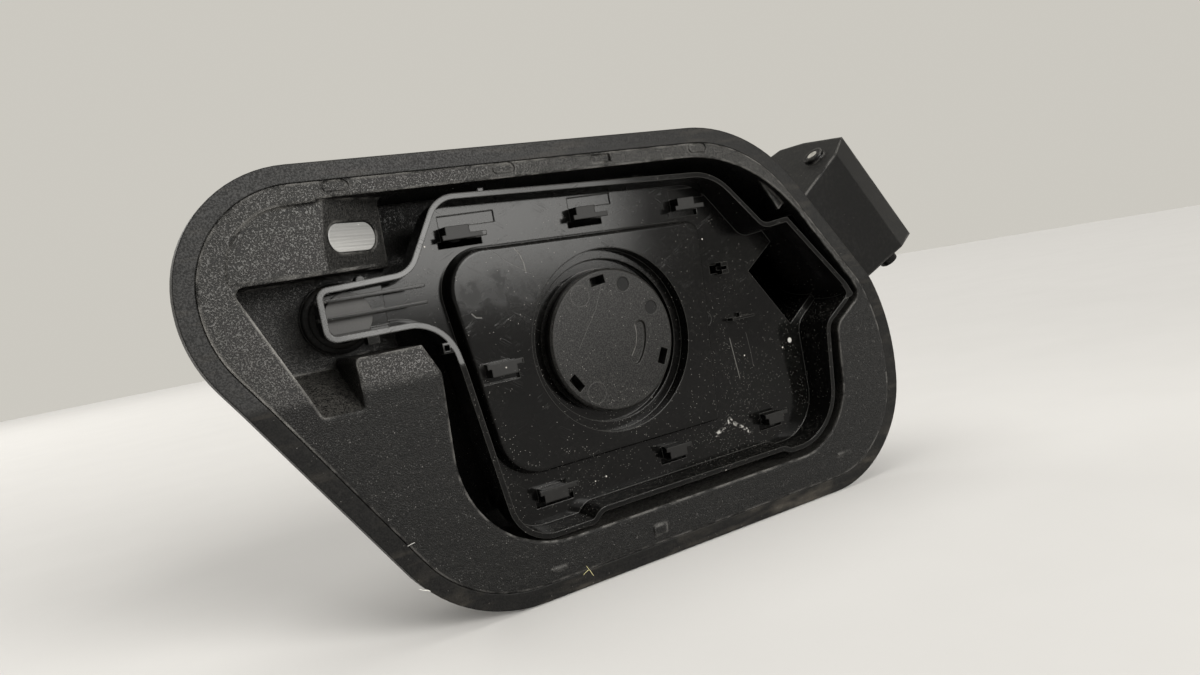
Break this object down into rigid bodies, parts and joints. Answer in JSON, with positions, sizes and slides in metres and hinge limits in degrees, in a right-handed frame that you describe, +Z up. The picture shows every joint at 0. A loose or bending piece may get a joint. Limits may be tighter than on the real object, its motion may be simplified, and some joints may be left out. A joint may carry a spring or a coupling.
{
  "type": "car fuel door",
  "caption": "Folded flange with a pocket behind it, closed by a hinged flap carrier on a slanted pin, with a push latch, a small status light and a round opening for the inlet.",
  "frame": {"origin": "centre of the inlet opening, on the rear face of the pocket's rear wall", "axes": "+X along the flange's crease, +Y into the car along the inlet's axis, +Z up"},
  "size_m": [0.3574, 0.0788, 0.179],
  "materials": {
    "grained_plastic": "fine grained, matte black",
    "smooth_plastic": "smooth, semi-gloss black",
    "black_rubber": "soft, matte black",
    "grey_plastic": "smooth dark grey",
    "natural_plastic": "smooth natural white",
    "frosted_lens": "frosted translucent white",
    "zinc_steel": "zinc plated",
    "spring_steel": "oiled spring wire",
    "circuit_board": "lacquered board"
  },
  "bodies": {
    "base": {"housing": "grained_plastic", "rim_seal": "black_rubber", "hinge_pin": "zinc_steel", "pin_clip": "smooth_plastic", "hinge_spring": "spring_steel", "latch_body": "smooth_plastic", "latch_cover": "smooth_plastic", "latch_lock_ring": "grey_plastic", "latch_boot": "black_rubber", "latch_spring": "spring_steel", "status_lens": "frosted_lens", "lamp_housing": "smooth_plastic", "led_board": "circuit_board", "lamp_socket": "smooth_plastic", "inlet_gasket": "black_rubber", "drain_grommet": "black_rubber", "bump_stops": "black_rubber", "body_clips": "zinc_steel"},
    "flap": {"flap_carrier": "smooth_plastic", "round_insert": "smooth_plastic", "insert_seal": "black_rubber", "latch_seat": "grey_plastic", "hinge_bushes": "natural_plastic"},
    "plunger": {"latch_plunger": "natural_plastic"},
    "sleeve": {"turn_sleeve": "natural_plastic"}
  },
  "joints": [
    {"name": "flap_hinge", "type": "hinge", "parent": "base", "child": "flap", "pos_m": [0.1592, -0.0304, 0.0367], "axis": [-0.5807, 0, 0.8141], "range_deg": [0, 76]},
    {"name": "plunger_slide", "type": "slide", "parent": "base", "child": "plunger", "axis": [0, 1, 0], "range_m": [0, 0.007], "stiffness_N_per_m": 600, "springref_m": -0.004, "deforming": ["latch_spring"]},
    {"name": "sleeve_turn", "type": "hinge", "parent": "base", "child": "sleeve", "pos_m": [-0.1088, -0.0081, 0.0288], "axis": [0, 1, 0], "range_deg": [0, 60]}
  ],
  "couplings": [
    {"joint": "sleeve_turn", "follows": "plunger_slide", "rad_per_m": 149.5}
  ]
}
